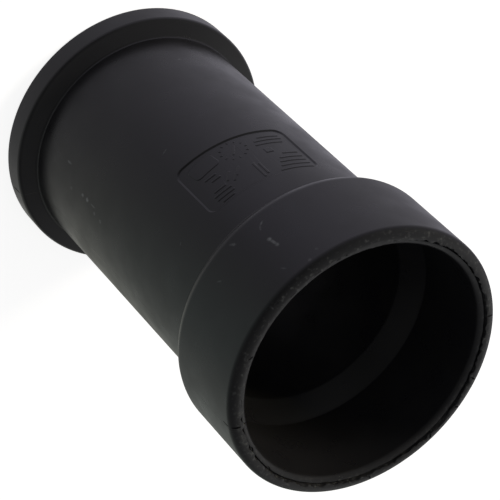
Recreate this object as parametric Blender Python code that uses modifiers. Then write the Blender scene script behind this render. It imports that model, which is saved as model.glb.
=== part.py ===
"""Soil pipe adapter for a 2 inch drain, moulded in black ABS as one piece.

It stands on the flat end of its collar, at Z = 0, with the pipe socket facing up.
All sizes are in metres.
"""

import math

import bmesh
import bpy
from mathutils import Vector

# Driving dimensions of the pipe and the walls
pipe_diameter = 0.0603
hub_wall = 0.00445
barrel_wall = 0.0039
overall_length = 0.1175

# Socket, measured down from the mouth
socket_depth = 0.0225
socket_mouth_clearance = 0.0007
socket_bottom_clearance = 0.0002
stop_cone_length = 0.0055

# Mouth of the socket: a wall end that is round on both sides, its outer half a step higher
rim_ring_width = 0.00275
rim_step = 0.00075
mouth_round = 0.0022
lead_in_round = 0.0016

# Shoulder between the hub and the barrel
shoulder_setback = 0.0027
shoulder_angle = math.radians(45)
shoulder_round = 0.0035
shoulder_foot_round = 0.0015
stop_cone_round = 0.0010

# Collar on the spigot end: its front face slopes down from the barrel to the collar's edge
collar_height = 0.00455
collar_root_thickness = 0.0080
collar_edge_thickness = 0.0064
collar_front_round = 0.0013
collar_back_round = 0.0003
collar_root_round = 0.0010
bore_end_round = 0.0005

# Marking panel: a shallow pocket with rounded corners, sunk in the barrel and left bare
panel_width = 0.0300
panel_height = 0.0192
panel_depth = 0.00028
panel_corner = 0.0022
panel_below_mouth = 0.0481
panel_azimuth = math.radians(-117.5)

# Smoothness of the turned shape
turn_steps = 72
degrees_per_arc_step = 22.5
cutter_reach = 0.004

# Sizes that follow from the ones above
barrel_radius = pipe_diameter / 2
bore_radius = barrel_radius - barrel_wall
socket_mouth_radius = barrel_radius + socket_mouth_clearance / 2
socket_bottom_radius = barrel_radius + socket_bottom_clearance / 2
hub_radius = socket_mouth_radius + hub_wall
collar_radius = barrel_radius + collar_height
rim_ring_radius = hub_radius - rim_ring_width

mouth_z = overall_length
socket_bottom_z = mouth_z - socket_depth
stop_cone_z = socket_bottom_z - stop_cone_length
shoulder_z = socket_bottom_z - shoulder_setback
shoulder_foot_z = shoulder_z - (hub_radius - barrel_radius) / math.tan(shoulder_angle)
lead_in_z = mouth_z - rim_step


def clear_scene():
    for old in list(bpy.data.objects):
        bpy.data.objects.remove(old, do_unlink=True)


def new_collection(name):
    group = bpy.data.collections.new(name)
    bpy.context.scene.collection.children.link(group)
    return group


def rounded_corner(before, corner, after, radius):
    """Points of the arc that rounds one corner of an outline, from its first tangent to its last."""
    to_before = (before - corner).normalized()
    to_after = (after - corner).normalized()
    inside_angle = to_before.angle(to_after)
    if radius <= 0:
        return [corner]
    tangent_length = radius / math.tan(inside_angle / 2)
    turn = math.pi - inside_angle
    steps = max(2, round(math.degrees(turn) / degrees_per_arc_step))
    centre_way = (to_before + to_after).normalized()
    centre = corner + centre_way * (radius / math.sin(inside_angle / 2))
    start = corner + to_before * tangent_length - centre
    side = 1 if to_before.x * to_after.y - to_before.y * to_after.x < 0 else -1
    points = []
    for step in range(steps + 1):
        angle = side * turn * step / steps
        across = Vector((start.x * math.cos(angle) - start.y * math.sin(angle),
                         start.x * math.sin(angle) + start.y * math.cos(angle)))
        points.append(centre + across)
    return points


def rounded_outline(corners):
    """Closed outline from (x, y, radius) corners."""
    places = [Vector((x, y)) for x, y, radius in corners]
    points = []
    for index, (x, y, radius) in enumerate(corners):
        after = places[(index + 1) % len(places)]
        points += rounded_corner(places[index - 1], places[index], after, radius)
    return points


def section_corners():
    """Half section of the moulding: down the outside, across the collar's end, and up the inside."""
    return [
        (hub_radius, mouth_z, mouth_round),
        (hub_radius, shoulder_z, shoulder_round),
        (barrel_radius, shoulder_foot_z, shoulder_foot_round),
        (barrel_radius, collar_root_thickness, collar_root_round),
        (collar_radius, collar_edge_thickness, collar_front_round),
        (collar_radius, 0, collar_back_round),
        (bore_radius, 0, bore_end_round),
        (bore_radius, stop_cone_z, stop_cone_round),
        (socket_bottom_radius, socket_bottom_z, 0),
        (socket_mouth_radius, lead_in_z, lead_in_round),
        (rim_ring_radius, lead_in_z, 0),
        (rim_ring_radius, mouth_z, 0),
    ]


def turned_body(name, group):
    """The half section, turned about the Z axis."""
    outline = rounded_outline(section_corners())
    mesh = bpy.data.meshes.new(name)
    shape = bmesh.new()
    verts = [shape.verts.new((point.x, 0, point.y)) for point in outline]
    for index, vert in enumerate(verts):
        shape.edges.new((verts[index - 1], vert))
    shape.to_mesh(mesh)
    shape.free()
    body = bpy.data.objects.new(name, mesh)
    group.objects.link(body)
    turn = body.modifiers.new("turn", "SCREW")
    turn.axis = "Z"
    turn.angle = math.tau
    turn.steps = turn_steps
    turn.render_steps = turn_steps
    turn.use_merge_vertices = True
    turn.merge_threshold = 0.00001
    turn.use_smooth_shade = True
    return body


def panel_cutter(group):
    """A block over the marking panel, hollowed underneath so that it leaves an even pocket."""
    half_width = panel_width / 2
    half_height = panel_height / 2
    outline = rounded_outline([
        (-half_width, -half_height, panel_corner),
        (half_width, -half_height, panel_corner),
        (half_width, half_height, panel_corner),
        (-half_width, half_height, panel_corner),
    ])
    panel_z = mouth_z - panel_below_mouth
    inner_x = barrel_radius * math.cos(half_width / barrel_radius) - cutter_reach
    outer_x = barrel_radius + cutter_reach
    mesh = bpy.data.meshes.new("panel_cutter")
    shape = bmesh.new()
    verts = [shape.verts.new((inner_x, barrel_radius * math.sin(point.x / barrel_radius), point.y))
             for point in outline]
    face = shape.faces.new(verts)
    wall = bmesh.ops.extrude_face_region(shape, geom=[face])
    moved = [item for item in wall["geom"] if isinstance(item, bmesh.types.BMVert)]
    bmesh.ops.translate(shape, verts=moved, vec=(outer_x - inner_x, 0, 0))
    bmesh.ops.recalc_face_normals(shape, faces=shape.faces)
    shape.to_mesh(mesh)
    shape.free()
    block = bpy.data.objects.new("panel_cutter", mesh)
    block.location = (0, 0, panel_z)
    block.rotation_euler = (0, 0, panel_azimuth)
    group.objects.link(block)
    as_cutter(block)
    return block


def panel_floor(group):
    """The round core that the pocket stops at."""
    core_height = panel_height + 2 * cutter_reach
    bpy.ops.mesh.primitive_cylinder_add(
        vertices=turn_steps,
        radius=barrel_radius - panel_depth,
        depth=core_height,
        location=(0, 0, mouth_z - panel_below_mouth),
    )
    core = bpy.context.object
    core.name = "panel_floor"
    for owner in list(core.users_collection):
        owner.objects.unlink(core)
    group.objects.link(core)
    as_cutter(core)
    return core


def as_cutter(tool):
    tool.hide_render = True
    tool.display_type = "WIRE"


def subtract(target, cutter):
    cut = target.modifiers.new("cut " + cutter.name, "BOOLEAN")
    cut.operation = "DIFFERENCE"
    cut.solver = "EXACT"
    cut.object = cutter


def black_abs():
    """Moulded ABS: charcoal black with a satin face."""
    plastic = bpy.data.materials.new("black ABS")
    plastic.use_nodes = True
    shader = plastic.node_tree.nodes["Principled BSDF"]
    shader.inputs["Base Color"].default_value = (0.011, 0.011, 0.012, 1)
    shader.inputs["Roughness"].default_value = 0.42
    shader.inputs["Metallic"].default_value = 0
    return plastic


clear_scene()
parts = new_collection("abs_soil_pipe_adapter")
cutters = new_collection("cutters")

adapter = turned_body("soil_pipe_adapter", parts)
pocket = panel_cutter(cutters)
subtract(pocket, panel_floor(cutters))
subtract(adapter, pocket)
adapter.data.materials.append(black_abs())
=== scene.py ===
# Soil pipe adapter, injection moulded in black ABS, standing on its collar with the socket up.
# Lengths in the dictionaries are in millimetres and angles in degrees; mm() turns lengths to metres.
# Azimuths run anticlockwise about the centre line, seen from above the socket, from +X.

import math

import bmesh
import bpy
from mathutils import Matrix, Vector, noise


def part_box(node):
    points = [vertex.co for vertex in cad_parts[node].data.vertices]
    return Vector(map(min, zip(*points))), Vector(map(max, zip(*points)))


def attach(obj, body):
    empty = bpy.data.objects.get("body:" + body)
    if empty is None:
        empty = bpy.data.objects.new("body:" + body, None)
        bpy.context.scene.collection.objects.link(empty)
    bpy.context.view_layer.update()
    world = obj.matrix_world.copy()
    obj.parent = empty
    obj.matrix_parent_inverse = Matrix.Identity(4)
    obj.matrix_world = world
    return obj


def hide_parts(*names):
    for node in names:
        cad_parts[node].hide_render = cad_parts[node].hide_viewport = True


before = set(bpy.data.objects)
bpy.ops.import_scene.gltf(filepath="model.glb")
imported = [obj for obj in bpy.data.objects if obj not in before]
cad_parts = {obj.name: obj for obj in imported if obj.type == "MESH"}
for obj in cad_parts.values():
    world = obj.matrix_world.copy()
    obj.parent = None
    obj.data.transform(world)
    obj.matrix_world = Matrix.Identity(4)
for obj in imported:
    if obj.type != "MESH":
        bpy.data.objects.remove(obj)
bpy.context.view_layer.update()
node = "soil_pipe_adapter"
boxLow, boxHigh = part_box(node)
print("frame loaded:", node)

# points of a bmesh that lie closer than this, in metres, are one and the same
samePlace = 1e-6


def mm(value):
    return value / 1000


def linear(hexColour):
    # sRGB hex to the linear values that a shader wants
    parts = [int(hexColour[i:i + 2], 16) / 255 for i in (1, 3, 5)]
    return tuple(c / 12.92 if c <= 0.04045 else ((c + 0.055) / 1.055) ** 2.4 for c in parts) + (1,)


def addNode(tree, kind, settings=None):
    # settings: for an input's name or number, a value, or a socket or node to link to it, of which a
    # node stands for its first output; and for a name after a dot, the value of that property
    new = tree.nodes.new(kind)
    for key, value in (settings or {}).items():
        if isinstance(value, bpy.types.Node):
            value = value.outputs[0]
        if isinstance(key, str) and key.startswith("."):
            setattr(new, key[1:], value)
        elif isinstance(value, bpy.types.NodeSocket):
            tree.links.new(value, new.inputs[key])
        else:
            new.inputs[key].default_value = value
    return new


def addPiece(name, bm):
    mesh = bpy.data.meshes.new(name)
    bm.to_mesh(mesh)
    bm.free()
    piece = bpy.data.objects.new(name, mesh)
    bpy.context.scene.collection.objects.link(piece)
    return piece


# The turned body of the moulding

body = {
    "hubRadius": (boxHigh[0] - boxLow[0]) / 2 * 1000,
    "length": boxHigh[2] * 1000,
    "pipeRadius": 30.15,
    "barrelWall": 3.9,
    "collarRadius": 34.7,
    "collarRoot": 8.0,
    "collarEdge": 6.4,
    "socketMouthRadius": 30.5,
    "socketBottomRadius": 30.25,
    "socketDepth": 22.5,
    "stopConeLength": 5.5,
    "rimRingWidth": 2.75,
    "rimStep": 0.75,
    "grooveWidth": 0.28,
    "grooveDepth": 0.4,
    "grooveNarrows": 0.03,
    "shoulderBelowMouth": 25.2,
    "steps": 432,
    "ringSpacing": 3.5,
    "sharpAngle": 24,
    # each corner's rounding radius and the segments of its bevel
    "rounding": {
        "mouth": (2.2, 12),
        "shoulder": (3.5, 10),
        "shoulderFoot": (1.5, 5),
        "collarRoot": (1.0, 5),
        "collarFront": (1.3, 7),
        "collarBack": (0.3, 4),
        "boreEnd": (0.5, 4),
        "stopCone": (1.0, 5),
        "socketBottom": (0.3, 3),
        "leadIn": (1.4, 10),
        "grooveTop": (0.06, 2),
        "grooveBottom": (0.03, 2),
        "ringEdge": (0.2, 3),
    },
}
body["ringRadius"] = body["hubRadius"] - body["rimRingWidth"]
body["stepHeight"] = body["length"] - body["rimStep"]


def bodyCorners():
    # radius, height and rounding of each corner, from the mouth down the outside and back up the inside
    hub = body["hubRadius"]
    barrel = body["pipeRadius"]
    bore = barrel - body["barrelWall"]
    top = body["length"]
    ring = body["ringRadius"]
    step = body["stepHeight"]
    shoulder = top - body["shoulderBelowMouth"]
    foot = shoulder - (hub - barrel)
    bottom = top - body["socketDepth"]
    return [
        (hub, top, "mouth"),
        (hub, shoulder, "shoulder"),
        (barrel, foot, "shoulderFoot"),
        (barrel, body["collarRoot"], "collarRoot"),
        (body["collarRadius"], body["collarEdge"], "collarFront"),
        (body["collarRadius"], 0, "collarBack"),
        (bore, 0, "boreEnd"),
        (bore, bottom - body["stopConeLength"], "stopCone"),
        (body["socketBottomRadius"], bottom, "socketBottom"),
        (body["socketMouthRadius"], step, "leadIn"),
        (ring - body["grooveWidth"], step, "grooveTop"),
        (ring - body["grooveNarrows"], step - body["grooveDepth"], "grooveBottom"),
        (ring, top, "ringEdge"),
    ]


def onRing(v, radius, height):
    reach = samePlace * 10
    return abs(math.hypot(v.co.x, v.co.y) - radius) < reach and abs(v.co.z - height) < reach


def ringEdges(bm, radius, height):
    return [edge for edge in bm.edges if all(onRing(v, radius, height) for v in edge.verts)]


def makeBody():
    corners = bodyCorners()
    bm = bmesh.new()
    outline = [bm.verts.new((mm(r), 0, mm(z))) for r, z, corner in corners]
    for a, b in zip(outline, outline[1:] + outline[:1]):
        bm.edges.new((a, b))
    bmesh.ops.spin(bm, geom=bm.verts[:] + bm.edges[:], cent=(0, 0, 0), axis=(0, 0, 1),
                   angle=math.tau, steps=body["steps"], use_merge=True, use_duplicate=False)
    bmesh.ops.remove_doubles(bm, verts=bm.verts[:], dist=samePlace)
    bmesh.ops.recalc_face_normals(bm, faces=bm.faces[:])
    for index, (r, z, corner) in enumerate(corners):
        rounding, segments = body["rounding"][corner]
        before = Vector(corners[index - 1][:2]) - Vector((r, z))
        after = Vector(corners[(index + 1) % len(corners)][:2]) - Vector((r, z))
        width = rounding / math.tan(before.angle(after) / 2)
        bmesh.ops.bevel(bm, geom=ringEdges(bm, mm(r), mm(z)), offset=mm(width), offset_type="OFFSET",
                        segments=segments, profile=0.5, affect="EDGES", material=-1)
    # loops along the straight walls, so that small dents and cuts meet short faces
    height = body["ringSpacing"]
    while height < body["length"] - body["ringSpacing"]:
        everything = bm.verts[:] + bm.edges[:] + bm.faces[:]
        bmesh.ops.bisect_plane(bm, geom=everything, dist=samePlace,
                               plane_co=(0, 0, mm(height)), plane_no=(0, 0, 1))
        height += body["ringSpacing"]
    return bm


# Flash: the mould's parting line leaves the ring's inner edge ragged

flash = {
    # size of the lumps along the edge, and how far each kind moves it
    "lumps": [(13.0, 0.55), (2.4, 0.6), (1.0, 0.5)],
    "drop": 0.3,
    "edgeBand": 0.5,
    "aboveStep": 0.3,
}


def raggedRing(bm):
    # moves only the top of the ring's inner edge, in and out and slightly down
    for v in bm.verts:
        radius = math.hypot(v.co.x, v.co.y)
        inward = abs(radius - mm(body["ringRadius"])) < mm(flash["edgeBand"])
        if not inward or v.co.z < mm(body["stepHeight"] + flash["aboveStep"]):
            continue
        shift = sum(mm(reach) * noise.noise(v.co / mm(size)) for size, reach in flash["lumps"])
        v.co.x -= v.co.x / radius * shift
        v.co.y -= v.co.y / radius * shift
        v.co.z -= abs(shift) * flash["drop"]


adapterMesh = makeBody()
raggedRing(adapterMesh)
print("body turned:", len(adapterMesh.faces), "faces")

adapter = addPiece("adapterMoulding", adapterMesh)

# Shapes drawn flat on the barrel: x runs round it, y up it, and z is the distance from the centre line

panel = {
    "width": 30.0,
    "height": 19.2,
    "depth": 0.28,
    "corner": 2.2,
    "draft": 0.7,
    "belowMouth": 48.1,
    "azimuth": -117.5,
    "stripWidth": 1.2,
    "above": 1.0,
}


def roundedBox(width, height, corner, cornerSteps=6):
    points = []
    for turn, (sx, sy) in enumerate(((1, 1), (-1, 1), (-1, -1), (1, -1))):
        centre = Vector((sx * (width / 2 - corner), sy * (height / 2 - corner)))
        for step in range(cornerSteps + 1):
            angle = math.radians(90 * (turn + step / cornerSteps))
            points.append(centre + Vector((math.cos(angle), math.sin(angle))) * corner)
    return points


def addWrapped(bm, outlines, centre, tilt=0):
    # outlines: (points, distance from the centre line), from the lowest to the highest, alike in number
    spin = Matrix.Rotation(math.radians(tilt), 2)
    part = bmesh.new()
    rings = []
    for points, reach in outlines:
        placed = [spin @ Vector(p) + Vector(centre) for p in points]
        rings.append([part.verts.new((mm(p.x), mm(p.y), mm(reach))) for p in placed])
    part.faces.new(list(reversed(rings[0])))
    part.faces.new(rings[-1])
    for low, high in zip(rings, rings[1:]):
        for i in range(len(low)):
            j = (i + 1) % len(low)
            part.faces.new((low[i], low[j], high[j], high[i]))
    # narrow strips, so that the flat faces can follow the barrel's curve
    xs = [v.co.x for v in part.verts]
    cut = min(xs) + mm(panel["stripWidth"])
    while cut < max(xs):
        everything = part.verts[:] + part.edges[:] + part.faces[:]
        bmesh.ops.bisect_plane(part, geom=everything, dist=samePlace / 10,
                               plane_co=(cut, 0, 0), plane_no=(1, 0, 0))
        cut += mm(panel["stripWidth"])
    for v in part.verts:
        angle = math.radians(panel["azimuth"]) + v.co.x / mm(body["pipeRadius"])
        height = mm(body["length"] - panel["belowMouth"]) + v.co.y
        v.co = Vector((v.co.z * math.cos(angle), v.co.z * math.sin(angle), height))
    bmesh.ops.recalc_face_normals(part, faces=part.faces[:])
    if part.calc_volume(signed=True) < 0:
        bmesh.ops.reverse_faces(part, faces=part.faces[:])
    mesh = bpy.data.meshes.new("wrapped")
    part.to_mesh(mesh)
    part.free()
    bm.from_mesh(mesh)
    bpy.data.meshes.remove(mesh)


def bakeModifiers(target):
    depsgraph = bpy.context.evaluated_depsgraph_get()
    result = bpy.data.meshes.new_from_object(target.evaluated_get(depsgraph))
    old = target.data
    target.modifiers.clear()
    target.data = result
    bpy.data.meshes.remove(old)


def applyBoolean(target, tool, operation):
    # the manifold solver takes the overlapping marks and nicks in one quick pass
    change = target.modifiers.new(operation, "BOOLEAN")
    change.operation = operation
    change.solver = "MANIFOLD"
    change.object = tool
    bakeModifiers(target)
    bpy.data.objects.remove(tool, do_unlink=True)


def cutPanel():
    # the pocket's walls lean outwards by the mould's draft
    floor = body["pipeRadius"] - panel["depth"]
    top = body["pipeRadius"] + panel["above"]
    flare = panel["draft"] * (1 + panel["above"] / panel["depth"])
    bm = bmesh.new()
    inner = roundedBox(panel["width"] - panel["draft"], panel["height"] - panel["draft"], panel["corner"])
    outer = roundedBox(panel["width"] + flare, panel["height"] + flare, panel["corner"] + flare / 2)
    addWrapped(bm, [(inner, floor), (outer, top)], (0, 0))
    applyBoolean(adapter, addPiece("panelCutter", bm), "DIFFERENCE")


cutPanel()
print("marking panel cut")

# Generic marks in the panel: a mould date dial with its pointer, plain bars, a square and a lozenge.
# Each place is (millimetres to the left of the panel's middle, millimetres above it).

marks = {
    "height": 0.11,
    "sunk": 0.35,
    "taper": 0.21,
    "barWidth": 0.75,
    "barCorner": 0.3375,
    "dialPlace": (0.2, -5.2),
    "dialRadius": 3.3,
    "tickCount": 12,
    # length, width and corner
    "tick": (0.8, 0.5, 0.2),
    "pointer": (4.0, 0.7, 0.3),
    "pointerTilt": 62,
    # x and y of the middle, width, height, corner and tilt
    "square": (-6.9, -1.0, 2.2, 2.2, 0.3, 0),
    "lozenge": (8.6, -5.4, 7.4, 5.2, 1.4, 8),
}
marks["bars"] = [
    # x and y of the bar's middle, its length and its tilt
    (9.4, 8.3, 3.6, 0), (9.4, 6.9, 5.2, 0), (9.4, 5.5, 5.2, 0), (9.4, 4.1, 3.6, 0),
    (4.6, 3.4, 3.4, 55), (3.3, 2.2, 3.4, 55), (5.9, 2.2, 3.4, 55),
    (-0.8, 5.3, 6.6, 90), (-2.0, 5.3, 5.0, 90),
    (-9.4, 8.3, 9.0, 0), (-9.9, 6.6, 8.0, 0), (-10.2, 4.9, 7.2, 0), (-10.6, 3.2, 6.4, 0),
    (-11.4, 1.3, 4.4, 0),
    (-8.8, -4.0, 7.6, 0), (-9.2, -5.6, 7.6, 0), (-9.9, -7.0, 6.0, 0),
    (8.4, 0.6, 2.8, 0), (9.2, -1.0, 3.4, 0),
]


def addPlate(bm, width, height, corner, centre, tilt=0):
    floor = body["pipeRadius"] - panel["depth"]
    base = roundedBox(width, height, corner)
    face = roundedBox(width - marks["taper"] * 2, height - marks["taper"] * 2, corner - marks["taper"])
    outlines = [
        (base, floor - marks["sunk"]),
        (base, floor),
        (face, floor + marks["height"]),
    ]
    addWrapped(bm, outlines, centre, tilt)


def addMarks():
    bm = bmesh.new()
    for x, y, length, tilt in marks["bars"]:
        addPlate(bm, length, marks["barWidth"], marks["barCorner"], (x, y), tilt)
    for x, y, width, height, corner, tilt in (marks["square"], marks["lozenge"]):
        addPlate(bm, width, height, corner, (x, y), tilt)
    dialX, dialY = marks["dialPlace"]
    for tick in range(marks["tickCount"]):
        angle = math.tau * tick / marks["tickCount"]
        reach = marks["dialRadius"]
        place = (dialX + reach * math.cos(angle), dialY + reach * math.sin(angle))
        addPlate(bm, *marks["tick"], place, math.degrees(angle))
    addPlate(bm, *marks["pointer"], marks["dialPlace"], marks["pointerTilt"])
    return bm


applyBoolean(adapter, addPiece("panelMarks", addMarks()), "UNION")
print("panel marks raised")

# Nicks and chips from handling: azimuth, radius, height, length, width, depth, then how far the nick
# leans from the flat mouth (0) to the upright side (90), and its twist on the surface

nicks = [
    (-27.6, 33.6, 117.2, 2.6, 0.5, 0.4, 30, 0),
    (-27.6, 34.95, 114.6, 2.4, 0.4, 0.25, 88, 0),
    (-26.5, 31.6, 116.7, 1.6, 0.6, 0.3, -20, 20),
    (-12, 31.9, 116.8, 1.8, 0.7, 0.35, 0, 80),
    (3, 31.9, 116.8, 1.5, 0.6, 0.35, 0, 75),
    (-26, 34.7, 3.4, 3.6, 0.5, 0.3, 90, 0),
    (-59.5, 32.7, 117.5, 1.5, 0.7, 0.3, 5, 40),
    (-83, 34.1, 117.05, 1.2, 0.5, 0.15, 40, 60),
    (57, 32.9, 117.45, 2.6, 0.45, 0.35, 5, 25),
    (88, 32.7, 117.45, 1.6, 0.6, 0.4, 5, -35),
    (104, 32.8, 117.45, 1.3, 0.5, 0.35, 5, 20),
    (118, 32.7, 117.45, 1.8, 0.5, 0.4, 5, -20),
    (148, 33.0, 117.45, 2.2, 0.5, 0.35, 5, -15),
]
nickSmoothness = 3
# the cuts leave edges shorter than this, in millimetres
hairline = 0.004


def makeNicks():
    bm = bmesh.new()
    for azimuth, radius, height, length, width, depth, lean, twist in nicks:
        outward = Matrix.Rotation(math.radians(azimuth), 4, "Z")
        place = outward @ Matrix.Translation((mm(radius), 0, mm(height)))
        place = place @ Matrix.Rotation(math.radians(lean), 4, "Y")
        place = place @ Matrix.Rotation(math.radians(twist), 4, "Z")
        size = Matrix.Diagonal((mm(length), mm(width), mm(depth * 2), 1))
        # half a unit of radius, so that the matrix gives the full length, width and height
        bmesh.ops.create_icosphere(bm, subdivisions=nickSmoothness, radius=0.5, matrix=place @ size)
    return bm


def splitWideFaces(bm):
    # many-sided faces shade better as even triangles
    wide = [face for face in bm.faces if len(face.verts) > 4]
    bmesh.ops.triangulate(bm, faces=wide, quad_method="BEAUTY", ngon_method="BEAUTY")


def cleanCuts(target):
    # welds the hairline edges and splits the many-sided faces
    bm = bmesh.new()
    bm.from_mesh(target.data)
    splitWideFaces(bm)
    bmesh.ops.remove_doubles(bm, verts=bm.verts[:], dist=mm(hairline))
    bmesh.ops.dissolve_degenerate(bm, dist=mm(hairline), edges=bm.edges[:])
    splitWideFaces(bm)
    bm.to_mesh(target.data)
    bm.free()


applyBoolean(adapter, addPiece("nickCutter", makeNicks()), "DIFFERENCE")
cleanCuts(adapter)
print("nicks cut:", len(adapter.data.polygons), "faces")

adapter.data.shade_smooth()
adapter.data.set_sharp_from_angle(angle=math.radians(body["sharpAngle"]))
# normals weighted by face area, so that the thin faces along the cuts don't shade the wide ones
evenNormals = adapter.modifiers.new("evenNormals", "WEIGHTED_NORMAL")
evenNormals.mode = "FACE_AREA"
evenNormals.keep_sharp = True
bakeModifiers(adapter)

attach(adapter, "root")
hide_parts(node)

# Moulded ABS: near-black, with the satin face of a polished steel mould that has done many shots

absFinish = {
    "dark": "#17171a",
    "pale": "#1e1e20",
    "ior": 1.52,
    "roughLow": 0.27,
    "roughHigh": 0.37,
    "mottleSize": 9.0,
    "mottleDetail": 3,
    "mottleRoughness": 0.55,
    "mottleLow": 0.35,
    "mottleHigh": 0.65,
    # size from one lump to the next, detail and height
    "waves": (7.0, 1, 0.02),
    "dragLines": (0.9, 2, 0.004),
    "grain": (0.55, 2, 0.006),
    "dragStretch": 50,
    "seamAzimuth": -26.0,
    "seamWidth": 0.16,
    "seamHeight": 0.03,
}

# Scuffs on the outside: azimuth, height, length, width, tilt of the length from level, and strength
scuffs = [
    (-97.8, 103.5, 4.6, 1.0, 97, 0.7), (-97.5, 102.2, 1.7, 1.5, 97, 0.9), (-98.1, 105.0, 1.6, 1.3, 97, 0.6),
    (-99.6, 96.6, 1.7, 0.7, 30, 0.7), (-98.1, 97.6, 2.0, 0.6, 66, 0.4),
    (-86.8, 95.4, 2.6, 0.9, 129, 0.4), (-87.1, 95.7, 1.1, 1.1, 129, 0.5),
    (-107.0, 113.4, 1.2, 1.0, 104, 0.25), (-102.3, 115.0, 1.2, 1.2, 92, 0.3),
    (-93.6, 111.9, 2.0, 0.6, 122, 0.3), (-73.8, 99.3, 2.1, 0.6, 131, 0.35),
    (-57.7, 23.3, 2.8, 0.9, 92, 0.7), (-47.7, 26.9, 1.5, 1.2, 106, 0.35), (-49.9, 32.8, 1.5, 1.3, 94, 0.9),
    (-50.0, 35.3, 1.8, 1.5, 95, 1.0), (-49.9, 38.4, 3.2, 0.7, 90, 0.55), (-47.2, 39.7, 1.4, 1.1, 64, 0.6),
    (-46.5, 43.0, 1.5, 1.3, 100, 0.6), (-94.0, 51.2, 2.2, 0.6, 20, 0.4), (-134.0, 20.5, 1.2, 0.8, 0, 0.5),
    (-70.0, 76.0, 1.4, 0.5, 30, 0.3),
]
scuffLook = {
    "colour": "#8e9296",
    "roughness": 0.5,
    "depth": 1.4,
    "core": 0.3,
    "breakSize": 0.6,
    "breakDetail": 2,
    "breakRoughness": 0.6,
    "breakLow": 0.38,
    "breakHigh": 0.6,
    "breakLeaves": 0.45,
    "strength": 0.55,
}
# Rubbed specks on the top of the mouth
wornLip = {
    "from": 116.2,
    "full": 117.1,
    "speckSize": 0.9,
    "speckDetail": 2,
    "speckRoughness": 0.6,
    "speckLow": 0.56,
    "speckHigh": 0.72,
    "colour": "#6c6f6e",
    "strength": 0.3,
}


def scuffAmount(tree, coords):
    # the strength of the scuff that a point lies in, fading to 0 at its outline
    amount = 0
    for azimuth, height, length, width, tilt, strength in scuffs:
        high = height > body["length"] - body["shoulderBelowMouth"]
        reach = mm(body["hubRadius"] if high else body["pipeRadius"])
        around = math.radians(azimuth)
        turn = Matrix.Rotation(around, 3, "Z") @ Matrix.Rotation(math.radians(tilt), 3, "X")
        local = addNode(tree, "ShaderNodeMapping", {
            ".vector_type": "TEXTURE",
            "Vector": coords,
            "Location": (reach * math.cos(around), reach * math.sin(around), mm(height)),
            "Rotation": turn.to_euler("XYZ"),
            "Scale": (mm(scuffLook["depth"]), mm(length / 2), mm(width / 2)),
        })
        far = addNode(tree, "ShaderNodeVectorMath", {".operation": "LENGTH", 0: local})
        own = addNode(tree, "ShaderNodeMapRange", {
            ".interpolation_type": "SMOOTHSTEP",
            "Value": far.outputs["Value"],
            "From Min": 1,
            "From Max": scuffLook["core"],
            "To Max": strength,
        })
        amount = addNode(tree, "ShaderNodeMath", {".operation": "MAXIMUM", 0: amount, 1: own})
    return amount


def lipSpecks(tree, coords):
    # the strength of the rubbed specks along the mouth, and 0 everywhere else
    place = addNode(tree, "ShaderNodeSeparateXYZ", {0: coords})
    onLip = addNode(tree, "ShaderNodeMapRange", {
        "Value": place.outputs["Z"],
        "From Min": mm(wornLip["from"]),
        "From Max": mm(wornLip["full"]),
        "To Max": wornLip["strength"],
    })
    lumps = addNode(tree, "ShaderNodeTexNoise", {
        "Vector": coords,
        "Scale": 1 / mm(wornLip["speckSize"]),
        "Detail": wornLip["speckDetail"],
        "Roughness": wornLip["speckRoughness"],
    })
    speck = addNode(tree, "ShaderNodeMapRange", {
        "Value": lumps,
        "From Min": wornLip["speckLow"],
        "From Max": wornLip["speckHigh"],
    })
    return addNode(tree, "ShaderNodeMath", {".operation": "MULTIPLY", 0: onLip, 1: speck})


def seamLine(tree, coords):
    # 1 along the mould's parting line, which runs up two opposite sides, and 0 away from it
    azimuth = math.radians(absFinish["seamAzimuth"])
    across = Vector((-math.sin(azimuth), math.cos(azimuth), 0))
    side = addNode(tree, "ShaderNodeVectorMath", {".operation": "DOT_PRODUCT", 0: coords, 1: across})
    offset = addNode(tree, "ShaderNodeMath", {".operation": "ABSOLUTE", 0: side.outputs["Value"]})
    return addNode(tree, "ShaderNodeMapRange", {
        ".interpolation_type": "SMOOTHSTEP",
        "Value": offset,
        "From Max": mm(absFinish["seamWidth"]),
        "To Min": 1,
        "To Max": 0,
    })


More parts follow.
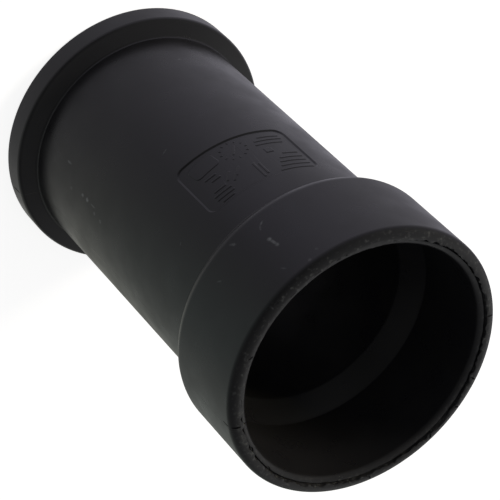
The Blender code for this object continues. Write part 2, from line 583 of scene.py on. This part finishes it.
def makeAbs():
    material = bpy.data.materials.new("blackMouldedAbs")
    material.use_nodes = True
    tree = material.node_tree
    shader = tree.nodes["Principled BSDF"]
    shader.inputs["IOR"].default_value = absFinish["ior"]
    coords = addNode(tree, "ShaderNodeTexCoord").outputs["Object"]
    mottle = addNode(tree, "ShaderNodeTexNoise", {
        "Vector": coords,
        "Scale": 1 / mm(absFinish["mottleSize"]),
        "Detail": absFinish["mottleDetail"],
        "Roughness": absFinish["mottleRoughness"],
    })

    # scuffs: the plastic is rubbed pale and rough, broken up along its length
    lumps = addNode(tree, "ShaderNodeTexNoise", {
        "Vector": coords,
        "Scale": 1 / mm(scuffLook["breakSize"]),
        "Detail": scuffLook["breakDetail"],
        "Roughness": scuffLook["breakRoughness"],
    })
    broken = addNode(tree, "ShaderNodeMapRange", {
        "Value": lumps,
        "From Min": scuffLook["breakLow"],
        "From Max": scuffLook["breakHigh"],
        "To Min": scuffLook["breakLeaves"],
    })
    rubbed = scuffAmount(tree, coords)
    for factor in (broken, scuffLook["strength"]):
        rubbed = addNode(tree, "ShaderNodeMath", {".operation": "MULTIPLY", 0: rubbed, 1: factor})

    # colour: near-black with a faint mottling, then the scuffs, and then the specks of the mouth
    colour = linear(absFinish["dark"])
    layers = [
        (mottle, absFinish["pale"]),
        (rubbed, scuffLook["colour"]),
        (lipSpecks(tree, coords), wornLip["colour"]),
    ]
    for amount, shade in layers:
        mixed = addNode(tree, "ShaderNodeMix", {
            ".data_type": "RGBA",
            0: amount,
            6: colour,
            7: linear(shade),
        })
        colour = mixed.outputs[2]
    tree.links.new(colour, shader.inputs["Base Color"])

    # roughness: drifts with the mottling, and rises in the scuffs
    satin = addNode(tree, "ShaderNodeMapRange", {
        "Value": mottle,
        "From Min": absFinish["mottleLow"],
        "From Max": absFinish["mottleHigh"],
        "To Min": absFinish["roughLow"],
        "To Max": absFinish["roughHigh"],
    })
    dulled = addNode(tree, "ShaderNodeMath", {
        ".operation": "MULTIPLY",
        0: rubbed,
        1: scuffLook["roughness"],
    })
    rough = addNode(tree, "ShaderNodeMath", {".operation": "MAXIMUM", 0: satin, 1: dulled})
    tree.links.new(rough.outputs[0], shader.inputs["Roughness"])

    # relief: the parting line, shallow sink waves, drag lines along the draw, and fine mould grain
    drawn = addNode(tree, "ShaderNodeMapping", {
        "Vector": coords,
        "Scale": (1, 1, 1 / absFinish["dragStretch"]),
    })
    relief = addNode(tree, "ShaderNodeMath", {
        ".operation": "MULTIPLY",
        0: seamLine(tree, coords),
        1: mm(absFinish["seamHeight"]),
    })
    for place, (size, detail, height) in (
        (coords, absFinish["waves"]),
        (drawn, absFinish["dragLines"]),
        (coords, absFinish["grain"]),
    ):
        lumps = addNode(tree, "ShaderNodeTexNoise", {
            "Vector": place,
            "Scale": 1 / mm(size),
            "Detail": detail,
        })
        relief = addNode(tree, "ShaderNodeMath", {
            ".operation": "MULTIPLY_ADD",
            0: lumps,
            1: mm(height),
            2: relief,
        })
    bump = addNode(tree, "ShaderNodeBump", {"Strength": 1, "Distance": 1, "Height": relief})
    tree.links.new(bump.outputs[0], shader.inputs["Normal"])
    return material


adapter.data.materials.clear()
adapter.data.materials.append(makeAbs())
print("material made")

# Studio: white all round for the camera, and for the plastic a dim tent that is darkest behind the
# camera, over a floor that is brighter and bluer on the left side than on the right

studio = {
    "roomLevel": 0.36,
    "darkSide": (0, -0.95, 0.31),
    "darkest": 0.01,
    "tentLevel": 0.165,
    "tentRise": 2.9,
    "rightShare": 0.45,
    "backdropLevel": 0.17,
    # where the backdrop starts to fade and where it ends, as shares of a direction's length
    "backdropHigh": (0.6, 0.78),
    "backdropBehind": (0.4, 0.1),
    "backdropSide": (0.45, 0.75),
    "floorSize": 4000,
    "floorDrop": 0.05,
    "floorColour": "#b8b8b8",
    "floorGlow": 0.82,
    "floorFront": -100,
    "floorBack": 30,
    "floorLeft": -90,
    "floorRight": 90,
    "fadeStart": 160,
    "fadeEnd": 380,
    "fadeLeft": 0.45,
    "boreEdge": 26,
    "collarEdge": 34,
    "boreLevel": 0.4,
}
# what the floor shows to the plastic, from the left side to the right: place and colour, first in
# front of the moulding and then behind it
floorFront = [
    (0.0, "#b5b2c0"),
    (0.15, "#a7a4b2"),
    (0.25, "#a4a1ae"),
    (0.5, "#8e8d95"),
    (0.75, "#8d8f91"),
    (1.0, "#97a09e"),
]
floorBack = [
    (0.0, "#afadb7"),
    (0.25, "#c2c0cb"),
    (0.5, "#b3b1b5"),
    (0.75, "#aaaba3"),
    (1.0, "#a0a5a0"),
]


def makeFloor():
    bm = bmesh.new()
    bmesh.ops.create_grid(bm, x_segments=1, y_segments=1, size=mm(studio["floorSize"]))
    floor = addPiece("floor", bm)
    floor.location.z = -mm(studio["floorDrop"])
    material = bpy.data.materials.new("paleFloor")
    material.use_nodes = True
    tree = material.node_tree
    tree.nodes.clear()
    path = addNode(tree, "ShaderNodeLightPath")

    # what the camera sees: a matt floor that glows up to white and keeps the shadow
    matt = addNode(tree, "ShaderNodeBsdfDiffuse", {"Color": linear(studio["floorColour"])})
    level = addNode(tree, "ShaderNodeMath", {
        ".operation": "MULTIPLY",
        0: path.outputs["Is Camera Ray"],
        1: studio["floorGlow"],
    })
    glow = addNode(tree, "ShaderNodeEmission", {"Strength": level})
    seen = addNode(tree, "ShaderNodeAddShader", {0: matt, 1: glow})

    # what the plastic mirrors: colours that change from left to right and from front to back
    coords = addNode(tree, "ShaderNodeTexCoord").outputs["Object"]
    place = addNode(tree, "ShaderNodeSeparateXYZ", {0: coords})
    across = addNode(tree, "ShaderNodeMapRange", {
        "Value": place.outputs["X"],
        "From Min": mm(studio["floorLeft"]),
        "From Max": mm(studio["floorRight"]),
    })
    along = addNode(tree, "ShaderNodeMapRange", {
        ".interpolation_type": "SMOOTHSTEP",
        "Value": place.outputs["Y"],
        "From Min": mm(studio["floorFront"]),
        "From Max": mm(studio["floorBack"]),
    })
    ramps = []
    for stops in (floorFront, floorBack):
        ramp = addNode(tree, "ShaderNodeValToRGB", {"Fac": across})
        # a new ramp has its first stop at 0 and its last at 1
        elements = ramp.color_ramp.elements
        elements[0].color = linear(stops[0][1])
        elements[1].color = linear(stops[-1][1])
        for position, colour in stops[1:-1]:
            elements.new(position).color = linear(colour)
        ramps.append(ramp)
    shown = addNode(tree, "ShaderNodeMix", {".data_type": "RGBA", 0: along, 6: ramps[0], 7: ramps[1]})

    # it fades with distance, and hardly any light gets down the waterway to the floor inside
    distance = addNode(tree, "ShaderNodeVectorMath", {".operation": "LENGTH", 0: coords})
    fade = addNode(tree, "ShaderNodeMapRange", {
        "Value": distance.outputs["Value"],
        "From Min": mm(studio["fadeStart"]),
        "From Max": mm(studio["fadeEnd"]),
        "To Min": 1,
        "To Max": studio["fadeLeft"],
    })
    shaded = addNode(tree, "ShaderNodeMapRange", {
        "Value": distance.outputs["Value"],
        "From Min": mm(studio["boreEdge"]),
        "From Max": mm(studio["collarEdge"]),
        "To Min": studio["boreLevel"],
    })
    fade = addNode(tree, "ShaderNodeMath", {".operation": "MULTIPLY", 0: fade, 1: shaded})
    mirrored = addNode(tree, "ShaderNodeEmission", {"Color": shown.outputs[2], "Strength": fade})
    both = addNode(tree, "ShaderNodeMixShader", {
        0: path.outputs["Is Glossy Ray"],
        1: seen,
        2: mirrored,
    })
    addNode(tree, "ShaderNodeOutputMaterial", {"Surface": both})
    floor.data.materials.append(material)


def makeWorld():
    world = bpy.data.worlds.new("lightTent")
    world.use_nodes = True
    tree = world.node_tree
    tree.nodes.clear()
    path = addNode(tree, "ShaderNodeLightPath")
    direction = addNode(tree, "ShaderNodeTexCoord").outputs["Generated"]

    # the tent that the plastic mirrors: darkest low in front, and pale towards the top and the back
    towards = addNode(tree, "ShaderNodeVectorMath", {
        ".operation": "DOT_PRODUCT",
        0: direction,
        1: studio["darkSide"],
    })
    away = addNode(tree, "ShaderNodeMapRange", {
        "Value": towards.outputs["Value"],
        "From Min": 1,
        "From Max": -1,
        "To Max": studio["tentRise"],
    })
    rise = addNode(tree, "ShaderNodeMath", {".operation": "SQRT", 0: away})
    tent = addNode(tree, "ShaderNodeMath", {
        ".operation": "MULTIPLY_ADD",
        0: rise,
        1: studio["tentLevel"],
        2: studio["darkest"],
    })

    # the white backdrop stands behind, up to a little under half the way overhead
    side = addNode(tree, "ShaderNodeSeparateXYZ", {0: direction})
    sideways = addNode(tree, "ShaderNodeMath", {".operation": "ABSOLUTE", 0: side.outputs["X"]})
    backdrop = studio["backdropLevel"]
    for value, (start, end), interpolation in (
        (side.outputs["Z"], studio["backdropHigh"], "SMOOTHSTEP"),
        (side.outputs["Y"], studio["backdropBehind"], "LINEAR"),
        (sideways, studio["backdropSide"], "LINEAR"),
    ):
        edge = addNode(tree, "ShaderNodeMapRange", {
            ".interpolation_type": interpolation,
            "Value": value,
            "From Min": start,
            "From Max": end,
            "To Min": 1,
            "To Max": 0,
        })
        backdrop = addNode(tree, "ShaderNodeMath", {".operation": "MULTIPLY", 0: backdrop, 1: edge})

    rightward = addNode(tree, "ShaderNodeMapRange", {
        "Value": side.outputs["X"],
        "To Min": 1,
        "To Max": studio["rightShare"],
    })
    shown = addNode(tree, "ShaderNodeMath", {".operation": "ADD", 0: tent, 1: backdrop})
    shown = addNode(tree, "ShaderNodeMath", {".operation": "MULTIPLY", 0: shown, 1: rightward})

    # soft light for all but mirrored rays, and plain white for the camera
    white = linear("#ffffff")
    soft = addNode(tree, "ShaderNodeBackground", {"Color": white, "Strength": studio["roomLevel"]})
    mirrored = addNode(tree, "ShaderNodeBackground", {"Color": white, "Strength": shown})
    seen = addNode(tree, "ShaderNodeBackground", {"Color": white, "Strength": 1})
    lit = addNode(tree, "ShaderNodeMixShader", {0: path.outputs["Is Glossy Ray"], 1: soft, 2: mirrored})
    mix = addNode(tree, "ShaderNodeMixShader", {0: path.outputs["Is Camera Ray"], 1: lit, 2: seen})
    addNode(tree, "ShaderNodeOutputWorld", {"Surface": mix})
    bpy.context.scene.world = world


makeFloor()
makeWorld()

# the second is a narrow warm lamp that reaches into the socket, on the wall at its right
lamps = [
    {"name": "leftLamp", "kind": "AREA", "place": (-800, 150, 450), "aim": (0, 0, 110), "size": 300,
     "watts": 5.0, "colour": "#fff4e6"},
    {"name": "socketLamp", "kind": "SPOT", "place": (-330, 10, 330), "aim": (30, 3, 114), "size": 30,
     "watts": 8.0, "colour": "#ffec9c", "cone": 5.0},
]


def makeLamp(lamp):
    data = bpy.data.lights.new(lamp["name"], lamp["kind"])
    if lamp["kind"] == "AREA":
        data.shape = "SQUARE"
        data.size = mm(lamp["size"])
    else:
        data.shadow_soft_size = mm(lamp["size"])
        data.spot_size = math.radians(lamp["cone"])
        data.spot_blend = 1.0
    data.energy = lamp["watts"]
    data.color = linear(lamp["colour"])[:3]
    holder = bpy.data.objects.new(lamp["name"], data)
    holder.visible_glossy = False
    place = Vector([mm(c) for c in lamp["place"]])
    aim = Vector([mm(c) for c in lamp["aim"]])
    holder.matrix_world = Matrix.LocRotScale(place, (aim - place).to_track_quat("-Z", "Y"), None)
    bpy.context.scene.collection.objects.link(holder)


for lamp in lamps:
    makeLamp(lamp)
print("studio lit")

# Camera: looks down on the mouth from the -Y side, rolled so that the centre line runs down the
# picture's diagonal with the mouth at the lower right

camera = {
    "aimAcross": 0.105,
    "aimHeight": 64.08,
    "distance": 558.46,
    "elevation": 46.25,
    "roll": 134.91,
    "lens": 167.1,
    "sensor": 36,
    "clipStart": 10,
    "clipEnd": 20000,
}


def makeCamera():
    data = bpy.data.cameras.new("camera")
    data.lens = camera["lens"]
    data.sensor_width = camera["sensor"]
    data.clip_start = mm(camera["clipStart"])
    data.clip_end = mm(camera["clipEnd"])
    holder = bpy.data.objects.new("camera", data)
    elevation = math.radians(camera["elevation"])
    back = Vector((0, -math.cos(elevation), math.sin(elevation)))
    aim = Vector((mm(camera["aimAcross"]), 0, mm(camera["aimHeight"])))
    upright = Matrix((Vector((1, 0, 0)), back.cross(Vector((1, 0, 0))), back)).transposed()
    turned = upright @ Matrix.Rotation(math.radians(camera["roll"]), 3, "Z")
    holder.matrix_world = Matrix.Translation(aim + back * mm(camera["distance"])) @ turned.to_4x4()
    bpy.context.scene.collection.objects.link(holder)
    bpy.context.scene.camera = holder


makeCamera()
bpy.context.scene.view_settings.view_transform = "Standard"
